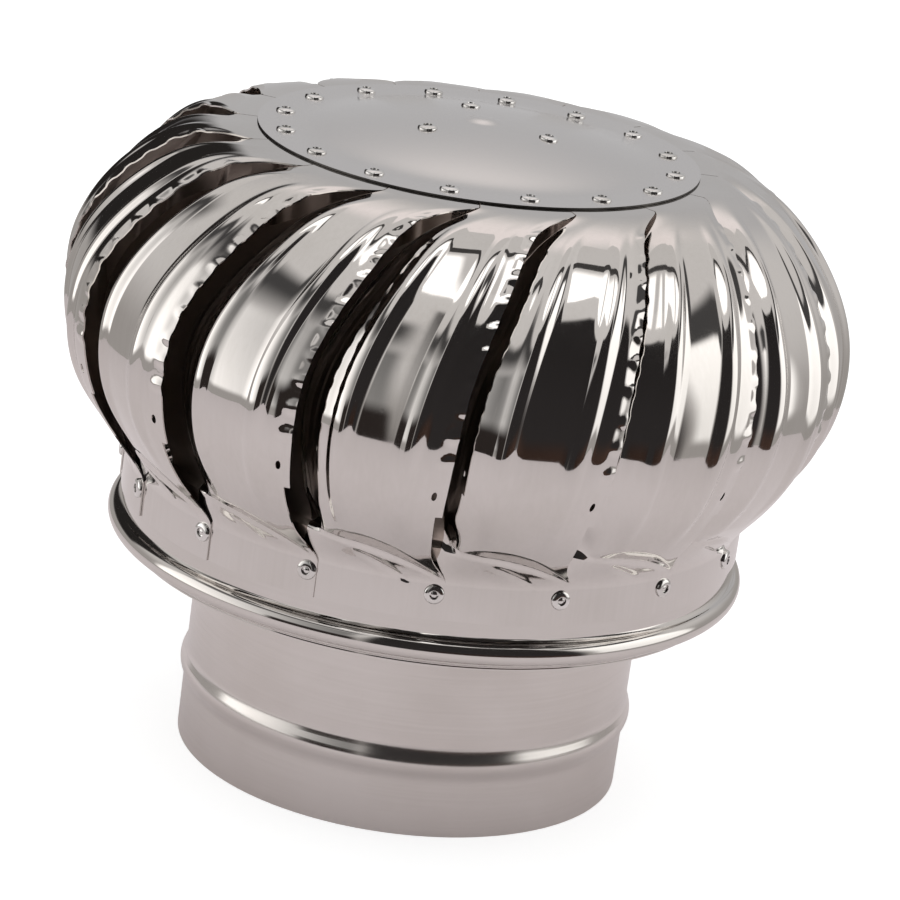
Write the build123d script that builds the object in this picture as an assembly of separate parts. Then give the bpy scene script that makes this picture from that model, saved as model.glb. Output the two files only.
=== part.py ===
from build123d import *
import os
from math import cos, sin, exp, hypot, pi, radians, degrees, asin, sqrt

# Roof turbine ventilator for a round duct, in millimetres, +Z up.
# The origin is the centre of the neck's bottom rim. The head turns about +Z on a fixed shaft.

# Sheets and plates
sheet = 0.6
blade_sheet = 0.5
bracket_plate = 2.0
spider_plate = 1.2
housing_sheet = 0.8
lap_gap = 0.1

# Duct neck
duct_radius = 75.0
neck_clearance = 6.0
neck_bead_height = 25.0
neck_bead_width = 10.0
neck_bead_rise = 2.2
neck_flare = 7.0

# Lower ring of the head
ring_radius = 102.7
ring_top = 101.0
ring_bead_height = 76.2
ring_bead_width = 7.6
ring_bead_rise = 4.0
ring_lip_radius = 100.2
ring_bead_tuck = 0.8
ring_bottom = 69.6
ring_rivet_height = 94.8

# Top disc of the head
disc_radius = 72.5
disc_height = 212.8
dome_radius = 57.0
dome_rise = 7.6
bump_radius = 7.5
bump_rise = 1.0
bump_flat = 1.0
disc_rivet_radius = 64.5

# Blades
blade_count = 16
blade_turn = 173.6
head_radius = 129.4
head_widest_height = 153.0
tab_inner_radius = 58.0
tab_outer_radius = 78.0
tab_bottom = 80.6
waist_fall = 2.6
blade_gap_angle = 0.3
tab_lap_angle = 4.6
tab_edge_angle = 8.3
twist_angle = 19.2
scoop_depth = 10.5
shoulder_shares = (0.66, 0.70)
waist_shares = (0.52, 0.69)
waist_pull_share = 0.4
rib_rise = 1.7
rib_width = 5.0
rib_shares = (0.32, 0.765)
edge_flange_drop = 1.2

# Rivets
rivet_radius = 1.6
rivet_head_radius = 3.2
rivet_head_rise = 1.15
rivet_mandrel_radius = 0.9
rivet_bulb_radius = 2.3
rivet_bulb_length = 2.4
crown_ratio = 1.6

# Fixed shaft and its nuts
shaft_radius = 4.0
shaft_fit = 0.05
nut_flats = 13.0
nut_height = 6.5
top_nut_height = 4.0
washer_radius = 8.0
washer = 1.2
shim_radius = 5.9
shaft_end = 3.3

# Bearings
bearing_radius = 11.0
bearing_width = 7.0
inner_race_radius = 6.1
outer_race_radius = 9.5
ball_radius = 1.95
ball_count = 7
groove_clearance = 0.05
shield = 0.3
shield_clearance = 0.2

# Cross bracket in the neck and spider in the head
arm_count = 4
arm_width = 18.0
bracket_hub_radius = 20.0
shim_length = 1.3
bracket_tab = 14.0
bracket_rivet_drop = 7.5
spider_hub_radius = 24.0
spider_height = 90.0
spider_hole_radius = 9.7
housing_flange_radius = 22.0
housing_rivet_radius = 17.8
top_housing_flange_radius = 29.0
top_housing_rivet_radius = 23.0
top_housing_rivet_turn = 101.5
top_housing_rivet_count = 3
top_bearing_drop = 8.8

# Bends and rolled forms
bead_roll = (6.0, 5.0, 6.0, 5.0)
ring_roll = (2.0, 2.2, 2.0)
dome_foot = 4.0
hub_corner = 4.0
cup_bend = 0.8
race_chamfer = 0.5
cage_sheet = 0.6
cage_reach = 2.3
drill_depth = 8.0

pitch = 360 / blade_count

# Heights that follow from the spider's
neck_height = spider_height - neck_clearance
lower_bearing_height = spider_height - bearing_width
upper_nut_top = lower_bearing_height - shim_length
bracket_top = upper_nut_top - nut_height - washer
bracket_height = bracket_top - bracket_plate


# A sheet spun about the head's axis, from its centre line in radius and height
def spun(path, thickness):
    return revolve(Plane.XZ * trace(path, thickness), Axis.Z)


# Drills one hole for each place through a solid
def drilled(solid, places, radius, depth):
    return solid - [place * Cylinder(radius, depth) for place in places]


# Places on a wall, each with its local Z pointing away from the axis
def around(radius, height, count, turn):
    return [
        Rot(0, 0, turn + 360 / count * i) * Pos(radius, 0, height) * Rot(0, 90, 0)
        for i in range(count)
    ]


# Middle line of a blade from the disc down to the ring, as radius and height
tab_height = disc_height - sheet - lap_gap
ring_seat = ring_radius + 2 * (lap_gap + blade_sheet)
shoulder_reach = head_radius - tab_outer_radius
shoulder_rise = tab_height - head_widest_height
waist_reach = head_radius - ring_seat
waist_drop = head_widest_height - ring_top
meridian = Wire(
    [
        Line((tab_inner_radius, tab_height), (tab_outer_radius, tab_height)),
        Spline(
            (tab_outer_radius, tab_height),
            (
                tab_outer_radius + shoulder_shares[0] * shoulder_reach,
                head_widest_height + shoulder_shares[1] * shoulder_rise,
            ),
            (head_radius, head_widest_height),
            tangents=[(1, 0), (0, -1)],
        ),
        Spline(
            (head_radius, head_widest_height),
            (
                ring_seat + waist_shares[0] * waist_reach,
                head_widest_height - waist_shares[1] * waist_drop,
            ),
            (ring_seat, ring_top - waist_fall),
            tangents=[(0, -1), (0, -1)],
            tangent_scalars=[1, waist_pull_share],
        ),
        Line((ring_seat, ring_top - waist_fall), (ring_seat, tab_bottom)),
    ]
)

# Each station along a blade: share of the way from bend line to ring, free edge's angle as a share
# of the twist, angle that the blade spans there, and shares of the scoop, the ribs and the edge flange
full_span = pitch - blade_gap_angle
lap_span = pitch + tab_lap_angle
arm_turn = blade_turn + tab_edge_angle - twist_angle - tab_lap_angle / 2
stations = [
    (0.000, 0.000, full_span, 0.00, 0.0, 0.0),
    (0.025, 0.170, full_span - 0.8, 0.10, 0.0, 0.1),
    (0.065, 0.440, full_span - 0.6, 0.38, 0.0, 0.6),
    (0.128, 0.650, full_span + 0.3, 0.72, 0.3, 1.0),
    (0.229, 0.810, full_span + 1.2, 0.95, 0.9, 1.0),
    (0.354, 0.970, full_span + 1.4, 1.00, 1.0, 1.0),
    (0.492, 1.100, full_span + 1.0, 1.00, 1.0, 1.0),
    (0.631, 1.180, full_span + 0.2, 0.98, 1.0, 0.9),
    (0.756, 1.215, full_span - 0.8, 0.86, 0.8, 0.2),
    (0.869, 1.210, full_span - 1.3, 0.50, 0.1, 0.0),
    (0.951, 1.140, full_span + 0.7, 0.12, 0.0, 0.0),
    (1.000, 1.030, lap_span, 0.00, 0.0, 0.0),
]
bend_share = (tab_outer_radius - tab_inner_radius) / meridian.length
waist_share = 1 - (ring_top - waist_fall - tab_bottom) / meridian.length
curl_share = 0.38
lean_share = 0.25
flange_share = 0.08
lap_start = 0.43
lap_end = 0.80
lap_flat = 0.22
lap_ease = 0.5
across = [0, 0.04, 0.09, 0.14, 0.18, 0.215, 0.25, 0.285, 0.32, 0.38, 0.47, 0.56, 0.62]
across += [0.655, 0.69, 0.725, 0.76, 0.82, 0.88, 0.92, 0.96, 1.0]


# Height of a blade's sheet above its meridian, at a share of its width from the tucked edge
def lift(share, scoop, rib, flange):
    curl = max(0, 1 - share / curl_share) ** 2 * (1 - lean_share)
    drop = scoop * scoop_depth * (curl + lean_share * (1 - share))
    drop += flange * edge_flange_drop * max(0, (share - 1) / flange_share + 1) ** 2
    rib_share = rib_width / 2.2 / (head_radius * radians(pitch))
    bumps = sum(exp(-(((share - place) / rib_share) ** 2)) for place in rib_shares)
    return rib * rib_rise * bumps - drop


# Points across a blade at one station, with its lapped side tucked one sheet further in.
# The first row is a straight bend line, where the blade leaves its flat tab.
def station_points(share_down, turn_share, span, scoop, rib, flange):
    along = bend_share + share_down * (waist_share - bend_share)
    middle = meridian.position_at(along)
    slope = meridian.tangent_at(along)
    out, up = -slope.Y, slope.X
    if share_down in (0, 1):
        out, up = share_down, 0
    lapped = min(1, max(0, (share_down - lap_start) / (lap_end - lap_start)))
    free_edge = blade_turn + tab_edge_angle - twist_angle * turn_share
    row = []
    for share in across:
        rise = lift(share, scoop, rib, flange)
        eased = min(1, max(0, (share - lap_flat) / lap_ease))
        rise -= lapped * (blade_sheet + lap_gap) * (0.5 + 0.5 * cos(pi * eased))
        radius = middle.X + out * rise
        turn = radians(span * (share - 0.5))
        if share_down == 0:
            radius = radius * cos(radians(span / 2)) / cos(turn)
        angle = radians(free_edge - span / 2) + turn
        row.append(Vector(radius * cos(angle), radius * sin(angle), middle.Y + up * rise))
    return row


# The same points moved inward by the sheet's thickness, square to the surface
def inner_points(rows, i):
    ahead, behind = rows[min(i + 1, len(rows) - 1)], rows[max(i - 1, 0)]
    row, last = [], len(across) - 1
    for j, point in enumerate(rows[i]):
        over = rows[i][min(j + 1, last)] - rows[i][max(j - 1, 0)]
        square = over.cross(ahead[j] - behind[j]) * -1
        if i == 0:
            square = Vector(0, 0, 1)
        if i == len(rows) - 1:
            square = Vector(over.Y, -over.X, 0)
        row.append(point - square.normalized() * blade_sheet)
    return row


# Flat tab under the disc, out to the bend line of the blade
def top_tab(bend):
    left, right = bend[0], bend[-1]
    middle = (left + right) / 2
    level = Vector(0, 0, tab_height)
    inner = [Vector(p.X, p.Y, 0).normalized() * tab_inner_radius + level for p in (left, middle, right)]
    outline = Wire([Line(left, right), Line(right, inner[2]), ThreePointArc(*inner), Line(inner[0], left)])
    return Solid.extrude(Face(outline), Vector(0, 0, -blade_sheet))


# One blade: closed outlines of the bent sheet lofted from bend line to ring, between two tabs
def make_blade():
    rows = [station_points(*station) for station in stations]
    outlines = []
    for i, outer in enumerate(rows):
        inner = inner_points(rows, i)
        outlines.append(
            Wire(
                [
                    Edge.make_spline(outer, parameters=across),
                    Edge.make_line(outer[-1], inner[-1]),
                    Edge.make_spline(inner, parameters=across),
                    Edge.make_line(inner[0], outer[0]),
                ]
            )
        )
    drop = Vector(0, 0, tab_bottom - rows[-1][0].Z)
    bottom_tab = Solid.extrude(Face(outlines[-1]), drop)
    return Solid.make_loft(outlines) + [top_tab(rows[0]), bottom_tab]


# Blind rivet with its head's seat at the origin and its shank down through the grip
def rivet(grip):
    tail = -grip - rivet_bulb_length
    side = Polyline(
        (rivet_mandrel_radius, rivet_head_rise),
        (rivet_mandrel_radius, rivet_head_rise / 3),
        (0, rivet_head_rise / 3),
        (0, tail),
        (rivet_bulb_radius / 2, tail),
        (rivet_bulb_radius, tail + rivet_bulb_length / 2),
        (rivet_bulb_radius, -grip),
        (rivet_radius, -grip),
        (rivet_radius, 0),
        (rivet_head_radius, 0),
    )
    crown = RadiusArc(
        (rivet_head_radius, 0),
        (rivet_mandrel_radius, rivet_head_rise),
        -crown_ratio * rivet_head_radius,
    )
    return revolve(Plane.XZ * make_face(side + crown), Axis.Z)


# A cross pressed from a cup: arms, a round hub and a bent tab at each arm's end
def pressed_cross(reach, floor, tab, plate, hub, hole, rivet_level):
    middle = floor + plate / 2
    tip = middle + tab
    rim = reach - plate / 2
    cup = spun(FilletPolyline((0, middle), (rim, middle), (rim, tip), radius=1.5 * plate), plate)
    bar = Rectangle(3 * reach, arm_width)
    outline = Circle(hub) + bar + Rot(0, 0, 90) * bar
    corners = outline.vertices().filter_by(lambda v: hypot(v.X, v.Y) < 1.1 * hub)
    outline = fillet(corners, hub_corner)
    cross = cup & extrude(outline, 2 * max(floor, tip))
    cross -= Cylinder(hole, 3 * tip)
    rivet_places = around(rim, rivet_level, arm_count, 0)
    return Rot(0, 0, arm_turn) * drilled(cross, rivet_places, rivet_radius, drill_depth)


# Pressed cup that holds a bearing: flange, wall and an inward lip under the outer race
def bearing_cup(flange_radius, rim_top, wall_top, lip_top):
    wall = bearing_radius + housing_sheet / 2
    rim, shoulder, lip = (top - housing_sheet / 2 for top in (rim_top, wall_top, lip_top))
    path = FilletPolyline(
        (flange_radius, rim), (wall, shoulder), (wall, lip), (spider_hole_radius, lip), radius=cup_bend
    )
    return spun(path, housing_sheet)


# Plain tube or washer from its two radii and its bottom and top
def tube(inner, outer, bottom, top):
    corners = (inner, bottom), (outer, bottom), (outer, top), (inner, top)
    return revolve(Plane.XZ * Polygon(*corners, align=None), Axis.Z)


# The five kinds of piece in one shielded ball bearing that stands at a height
def bearing(bottom):
    middle = bottom + bearing_width / 2
    top = bottom + bearing_width
    ball_circle = (inner_race_radius + outer_race_radius) / 2
    ball_places = around(ball_circle, middle, ball_count, 0)
    balls = [place * Sphere(ball_radius) for place in ball_places]
    track = Pos(0, 0, middle) * Torus(ball_circle, ball_radius + groove_clearance)
    outer = tube(outer_race_radius, bearing_radius, bottom, top)
    outer = chamfer(outer.edges().filter_by(GeomType.CIRCLE).group_by(SortBy.RADIUS)[-1], race_chamfer)
    inner = tube(shaft_radius + shaft_fit, inner_race_radius, bottom, top)
    cage_sides = ball_circle - cage_sheet, ball_circle + cage_sheet
    cage = tube(*cage_sides, middle - cage_reach, middle + cage_reach)
    cage -= [place * Sphere(ball_radius + 2 * groove_clearance) for place in ball_places]
    inside = inner_race_radius + shield_clearance
    shields = [
        tube(inside, outer_race_radius, bottom + shield / 2, bottom + 1.5 * shield),
        tube(inside, outer_race_radius, top - 1.5 * shield, top - shield / 2),
    ]
    return {
        "outer_race": outer - track,
        "inner_race": inner - track,
        "balls": Compound(children=balls),
        "cage": cage,
        "shields": Compound(children=shields),
    }


# Hexagon nut on the shaft
def nut(bottom, height):
    body = Pos(0, 0, bottom) * extrude(RegularPolygon(nut_flats / 2, 6, major_radius=False), height)
    body = chamfer(body.edges().filter_by(Plane.XY), nut_height / 16)
    return body - Pos(0, 0, bottom) * Cylinder(shaft_radius, 3 * height)


parts = {}

# Duct neck with its rolled bead and flared top, and the cross bracket riveted inside it
neck_line = duct_radius - sheet / 2
neck_path = FilletPolyline(
    (neck_line, 0),
    (neck_line, neck_bead_height - neck_bead_width / 2),
    (neck_line + neck_bead_rise, neck_bead_height),
    (neck_line, neck_bead_height + neck_bead_width / 2),
    (neck_line, neck_height - neck_flare),
    (neck_line + neck_flare, neck_height),
    radius=bead_roll,
)
bracket_rivet_level = bracket_top - bracket_rivet_drop
neck_rivets = around(duct_radius, bracket_rivet_level, arm_count, arm_turn)
parts["neck_collar"] = drilled(spun(neck_path, sheet), neck_rivets, rivet_radius, 4 * bracket_plate)
neck_inside = duct_radius - sheet - lap_gap
parts["neck_cross_bracket"] = pressed_cross(
    neck_inside, bracket_height, -bracket_tab, bracket_plate, bracket_hub_radius,
    shaft_radius + shaft_fit, bracket_rivet_level,
)
bracket_grip = sheet + bracket_plate + 3 * lap_gap
parts["neck_bracket_rivets"] = Compound(children=[place * rivet(bracket_grip) for place in neck_rivets])

# Fixed shaft, clamped to the bracket, with the stack that carries both inner races
lower_bearing = bearing(lower_bearing_height)
top_bearing_height = disc_height - top_bearing_drop
upper_bearing = bearing(top_bearing_height)
lower_nut_bottom = bracket_height - washer - nut_height
top_stack = top_bearing_height + bearing_width
shaft_bore = shaft_radius + shaft_fit
shaft_bottom = lower_nut_bottom - shaft_end
shaft_top = top_stack + washer + top_nut_height + shaft_end / 2
shaft = Pos(0, 0, (shaft_bottom + shaft_top) / 2) * Cylinder(shaft_radius, shaft_top - shaft_bottom)
parts["rotor_shaft"] = chamfer(shaft.edges().filter_by(GeomType.CIRCLE), shaft_radius / 6)
parts["bracket_lower_nut"] = nut(lower_nut_bottom, nut_height)
parts["bracket_upper_nut"] = nut(bracket_top + washer, nut_height)
parts["bracket_washers"] = Compound(
    children=[
        tube(shaft_bore, washer_radius, bracket_height - washer, bracket_height),
        tube(shaft_bore, washer_radius, bracket_top, bracket_top + washer),
    ]
)
parts["lower_bearing_shim"] = tube(shaft_bore, shim_radius, upper_nut_top, lower_bearing_height)
parts["bearing_spacer_tube"] = tube(shaft_bore, shim_radius, spider_height, top_bearing_height)
parts["top_bearing_washer"] = tube(shaft_bore, shim_radius, top_stack, top_stack + washer)
parts["shaft_top_nut"] = nut(top_stack + washer, top_nut_height)
for level, pieces in (("lower", lower_bearing), ("upper", upper_bearing)):
    for kind, piece in pieces.items():
        parts[f"{level}_bearing_{kind}"] = piece

# Lower ring with its rolled bead and inward lip
ring_line = ring_radius - sheet / 2
ring_path = FilletPolyline(
    (ring_line, ring_top),
    (ring_line, ring_bead_height + ring_bead_width / 2),
    (ring_line + ring_bead_rise, ring_bead_height),
    (ring_line - ring_bead_tuck, ring_bead_height - ring_bead_width / 2),
    (ring_lip_radius - sheet / 2, ring_bottom),
    radius=ring_roll,
)
ring_rivet_places = around(ring_seat, ring_rivet_height, blade_count, arm_turn)
parts["lower_ring"] = drilled(spun(ring_path, sheet), ring_rivet_places, rivet_radius, drill_depth)

# Spider across the ring, with the lower bearing in a cup riveted under its hub
spider_reach = ring_radius - sheet - lap_gap
spider_tab = ring_top - spider_height - spider_plate
parts["head_spider"] = pressed_cross(
    spider_reach, spider_height, spider_tab, spider_plate, spider_hub_radius,
    spider_hole_radius, ring_rivet_height,
)
hub_rivets = PolarLocations(housing_rivet_radius, arm_count, arm_turn + 45)
hub_seats = [Pos(0, 0, spider_height + spider_plate) * place for place in hub_rivets]
hub_grip = spider_plate + housing_sheet + lap_gap
parts["head_spider"] = drilled(parts["head_spider"], hub_seats, rivet_radius, drill_depth)
cup = bearing_cup(housing_flange_radius, spider_height, spider_height, lower_bearing_height)
parts["lower_bearing_housing"] = drilled(cup, hub_seats, rivet_radius, drill_depth)
parts["lower_housing_rivets"] = Compound(children=[place * rivet(hub_grip) for place in hub_seats])

# Top disc: flat rim, low round dome and a centre bump over the shaft's end
rim_level = disc_height - sheet / 2
dome_curve = (dome_radius**2 + dome_rise**2) / (2 * dome_rise)


# Height and slope of the dome's middle line at a radius
def dome_level(radius):
    return rim_level + dome_rise - dome_curve + sqrt(dome_curve**2 - radius**2)


def dome_slope(radius):
    return asin(radius / dome_curve)


bump_top = rim_level + dome_rise + bump_rise
bump_foot = (bump_radius, dome_level(bump_radius))
dome_end = (dome_radius - dome_foot, dome_level(dome_radius - dome_foot))
halfway = (bump_radius + dome_end[0]) / 2
dome_middle = (halfway, dome_level(halfway))
disc_path = Wire(
    [
        Line((0, bump_top), (bump_flat, bump_top)),
        Spline(
            (bump_flat, bump_top),
            bump_foot,
            tangents=[(1, 0), (1, -dome_slope(bump_radius))],
        ),
        ThreePointArc(bump_foot, dome_middle, dome_end),
        Spline(
            dome_end,
            (dome_radius + dome_foot, rim_level),
            tangents=[(1, -dome_slope(dome_end[0])), (1, 0)],
        ),
        Line((dome_radius + dome_foot, rim_level), (disc_radius, rim_level)),
    ]
)
rim_places = PolarLocations(disc_rivet_radius, blade_count, blade_turn)
rim_seats = [Pos(0, 0, disc_height) * place for place in rim_places]
cap_tilt = degrees(dome_slope(top_housing_rivet_radius))
cap_level = dome_level(top_housing_rivet_radius) + sheet / 2
cap_seats = [
    Rot(0, 0, top_housing_rivet_turn + 360 / top_housing_rivet_count * i)
    * Pos(top_housing_rivet_radius, 0, cap_level)
    * Rot(0, cap_tilt, 0)
    for i in range(top_housing_rivet_count)
]
disc = drilled(spun(disc_path, sheet), rim_seats + cap_seats, rivet_radius, drill_depth)
parts["top_disc"] = disc
under_dome = sheet / 2 + lap_gap
cup = bearing_cup(
    top_housing_flange_radius, dome_level(top_housing_flange_radius) - under_dome,
    dome_level(bearing_radius) - under_dome, top_bearing_height,
)
parts["top_bearing_housing"] = drilled(cup, cap_seats, rivet_radius, drill_depth)
cap_grip = sheet + housing_sheet + 3 * lap_gap
parts["top_housing_rivets"] = Compound(children=[place * rivet(cap_grip) for place in cap_seats])

# Blades, with a hole under the disc's rivet and one in each lapped bottom corner
blade = make_blade()
corner_holes = around(ring_seat, ring_rivet_height, 1, arm_turn)
corner_holes += around(ring_seat, ring_rivet_height, 1, arm_turn - pitch)
blade = drilled(blade, rim_seats[:1] + corner_holes, rivet_radius, drill_depth)
for i in range(blade_count):
    parts[f"blade_{i + 1:02d}"] = Rot(0, 0, pitch * i) * blade
rim_grip = sheet + blade_sheet + 2 * lap_gap
parts["disc_rim_rivets"] = Compound(children=[place * rivet(rim_grip) for place in rim_seats])

# Ring rivets: every fourth one also holds an arm of the spider
wall_grip = ring_seat - ring_radius + sheet + lap_gap
ring_rivets = []
for i, place in enumerate(ring_rivet_places):
    arm_grip = 0 if i % (blade_count // arm_count) else spider_plate + lap_gap
    ring_rivets.append(place * rivet(wall_grip + arm_grip))
parts["ring_rivets"] = Compound(children=ring_rivets)

os.makedirs("parts", exist_ok=True)
for name, piece in parts.items():
    piece.label = name
    export_step(piece, f"parts/{name}.step")
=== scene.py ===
import bpy
import numpy as np
from math import pi, radians
from mathutils import Matrix, Vector


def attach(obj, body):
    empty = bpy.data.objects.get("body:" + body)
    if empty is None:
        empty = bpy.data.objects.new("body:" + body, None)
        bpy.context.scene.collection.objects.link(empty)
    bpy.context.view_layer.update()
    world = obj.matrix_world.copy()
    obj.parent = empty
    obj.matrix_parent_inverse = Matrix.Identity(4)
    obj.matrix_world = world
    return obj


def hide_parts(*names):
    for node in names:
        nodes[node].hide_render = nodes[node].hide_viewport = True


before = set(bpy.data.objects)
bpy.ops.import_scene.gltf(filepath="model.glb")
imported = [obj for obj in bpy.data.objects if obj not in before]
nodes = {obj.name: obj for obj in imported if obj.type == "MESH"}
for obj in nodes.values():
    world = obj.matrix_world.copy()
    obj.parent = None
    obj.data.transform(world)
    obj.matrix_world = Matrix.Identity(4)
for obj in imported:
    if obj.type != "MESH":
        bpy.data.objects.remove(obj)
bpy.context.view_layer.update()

# Roof turbine ventilator in polished stainless sheet. Sizes in the dictionaries are millimetres and
# angles degrees, in the same places as the solids; the meshes are made in metres.
mm = 0.001
scene = bpy.context.scene
print("frame loaded:", len(nodes), "nodes")

# Camera

cameraView = {
    "place": (0.0, -1227.2, 518.0),
    "target": (4.3, -3.8, 108.6),
    "lens": 155.3,
    "sensor": 36.0,
    "lean": 8.0,  # the photograph leans clockwise
    "clip": (0.05, 50.0),  # metres
}


def makeCamera(view):
    data = bpy.data.cameras.new("studioCamera")
    data.lens = view["lens"]
    data.sensor_width = view["sensor"]
    data.clip_start, data.clip_end = view["clip"]
    camera = bpy.data.objects.new("studioCamera", data)
    scene.collection.objects.link(camera)
    place = Vector(view["place"]) * mm
    target = Vector(view["target"]) * mm
    aim = (target - place).to_track_quat("-Z", "Y").to_matrix().to_4x4()
    lean = Matrix.Rotation(radians(view["lean"]), 4, "Z")
    camera.matrix_world = Matrix.Translation(place) @ aim @ lean
    scene.camera = camera


makeCamera(cameraView)
print("camera set")

# Node helpers


def newGroup(name, inputs, outputs):
    tree = bpy.data.node_groups.new(name, "ShaderNodeTree")
    for label, kind, value in inputs:
        socket = tree.interface.new_socket(label, in_out="INPUT", socket_type=kind)
        if value is not None:
            socket.default_value = value
    for label, kind in outputs:
        tree.interface.new_socket(label, in_out="OUTPUT", socket_type=kind)
    return tree, tree.nodes.new("NodeGroupInput"), tree.nodes.new("NodeGroupOutput")


def newMaterial(name):
    material = bpy.data.materials.new(name)
    material.use_nodes = True
    material.node_tree.nodes.clear()
    return material, material.node_tree


# An input is named by its label, or by i and its number
def findInput(node, key):
    if key[0] == "i" and key[1:].isdigit():
        return node.inputs[int(key[1:])]
    return node.inputs[key.replace("_", " ")]


def addNode(tree, kind, settings=None, **inputs):
    node = tree.nodes.new(kind)
    for key, value in (settings or {}).items():
        setattr(node, key, value)
    for key, value in inputs.items():
        socket = findInput(node, key)
        if isinstance(value, bpy.types.NodeSocket):
            tree.links.new(value, socket)
        else:
            socket.default_value = value
    return node


def maths(tree, operation, first, second, clamp=False):
    settings = {"operation": operation, "use_clamp": clamp}
    return addNode(tree, "ShaderNodeMath", settings, i0=first, i1=second).outputs[0]


def remap(tree, value, given, wanted=(0.0, 1.0), kind="LINEAR"):
    settings = {"interpolation_type": kind}
    ends = {"i1": given[0], "i2": given[1], "i3": wanted[0], "i4": wanted[1]}
    return addNode(tree, "ShaderNodeMapRange", settings, i0=value, **ends).outputs[0]


def mixColours(tree, share, first, second):
    mix = addNode(tree, "ShaderNodeMix", {"data_type": "RGBA"}, i0=share, i6=first, i7=second)
    return mix.outputs[2]


def showShader(tree, shader):
    output = tree.nodes.new("ShaderNodeOutputMaterial")
    tree.links.new(shader, output.inputs[0])


# Rolled and polished sheet: fine grain, soft smears in the polish and a few pin marks
polishPattern = {
    "grainDetail": 3.0,
    "grainRoughness": 0.6,
    "grainRange": (0.3, 0.7),
    "grainShare": (-0.25, 0.25),
    "smearDetail": 4.0,
    "smearRoughness": 0.55,
    "smearRange": (0.38, 0.68),
    "pinScale": 160.0,
    "pinEdge": (0.05, 0.11),
    "pickScale": 42.0,  # a coarser noise picks the places that have pin marks
    "pickDetail": 1.0,
    "pickRange": (0.6, 0.66),
    "bumpStrength": 0.25,
    "bumpDistance": 0.00003,  # metres
}


def makePolishGroup(pattern):
    floatIn, vectorIn, colourIn = "NodeSocketFloat", "NodeSocketVector", "NodeSocketColor"
    tree, given, out = newGroup(
        "sheetPolish",
        [
            ("Place", vectorIn, None),
            ("Grain Stretch", vectorIn, (900, 900, 12)),
            ("Grain Relief", floatIn, 0.2),
            ("Smear Size", floatIn, 30.0),
            ("Bright Polish", floatIn, 0.05),
            ("Dull Polish", floatIn, 0.12),
            ("Pin Marks", floatIn, 0.5),
            ("Clean Tone", colourIn, (0.7, 0.68, 0.66, 1)),
            ("Smeared Tone", colourIn, (0.6, 0.58, 0.55, 1)),
        ],
        [("Tone", colourIn), ("Roughness", floatIn), ("Normal", vectorIn)],
    )
    g = given.outputs
    place = g["Place"]
    product = {"operation": "MULTIPLY"}
    stretched = addNode(tree, "ShaderNodeVectorMath", product, i0=place, i1=g["Grain Stretch"])

    def noise(where, scale, **shape):
        texture = addNode(tree, "ShaderNodeTexNoise", Vector=where, Scale=scale, **shape)
        return texture.outputs["Fac"]

    grainForm = {"Detail": pattern["grainDetail"], "Roughness": pattern["grainRoughness"]}
    smearForm = {"Detail": pattern["smearDetail"], "Roughness": pattern["smearRoughness"]}
    grain = noise(stretched.outputs[0], 1.0, **grainForm)
    smear = noise(place, g["Smear Size"], **smearForm)
    pick = noise(place, pattern["pickScale"], Detail=pattern["pickDetail"])
    cells = {"feature": "F1"}
    pins = addNode(tree, "ShaderNodeTexVoronoi", cells, Vector=place, Scale=pattern["pinScale"])
    pinSpots = remap(tree, pins.outputs["Distance"], pattern["pinEdge"], (1.0, 0.0))
    pinMask = maths(tree, "MULTIPLY", pinSpots, remap(tree, pick, pattern["pickRange"]))
    pinDepth = maths(tree, "MULTIPLY", pinMask, g["Pin Marks"])
    smeared = remap(tree, smear, pattern["smearRange"])
    grained = remap(tree, grain, pattern["grainRange"], pattern["grainShare"])
    dull = maths(tree, "ADD", smeared, grained, clamp=True)
    rough = remap(tree, dull, (0.0, 1.0), (g["Bright Polish"], g["Dull Polish"]))
    tone = mixColours(tree, dull, g["Clean Tone"], g["Smeared Tone"])
    height = maths(tree, "SUBTRACT", maths(tree, "MULTIPLY", grain, g["Grain Relief"]), pinDepth)
    relief = {"Strength": pattern["bumpStrength"], "Distance": pattern["bumpDistance"]}
    bump = addNode(tree, "ShaderNodeBump", Height=height, **relief)
    tree.links.new(tone, out.inputs["Tone"])
    tree.links.new(rough, out.inputs["Roughness"])
    tree.links.new(bump.outputs[0], out.inputs["Normal"])
    return tree


sheetPolish = makePolishGroup(polishPattern)


# A metal finish: the polish group with its own values, on a metallic shader
def metalFinish(name, polish):
    material, tree = newMaterial(name)
    place = tree.nodes.new("ShaderNodeTexCoord")
    group = tree.nodes.new("ShaderNodeGroup")
    group.node_tree = sheetPolish
    tree.links.new(place.outputs["Object"], group.inputs["Place"])
    for key, value in polish.items():
        group.inputs[key].default_value = value
    shader = addNode(tree, "ShaderNodeBsdfPrincipled", Metallic=1.0)
    tree.links.new(group.outputs["Tone"], shader.inputs["Base Color"])
    tree.links.new(group.outputs["Roughness"], shader.inputs["Roughness"])
    tree.links.new(group.outputs["Normal"], shader.inputs["Normal"])
    showShader(tree, shader.outputs[0])
    return material


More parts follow.
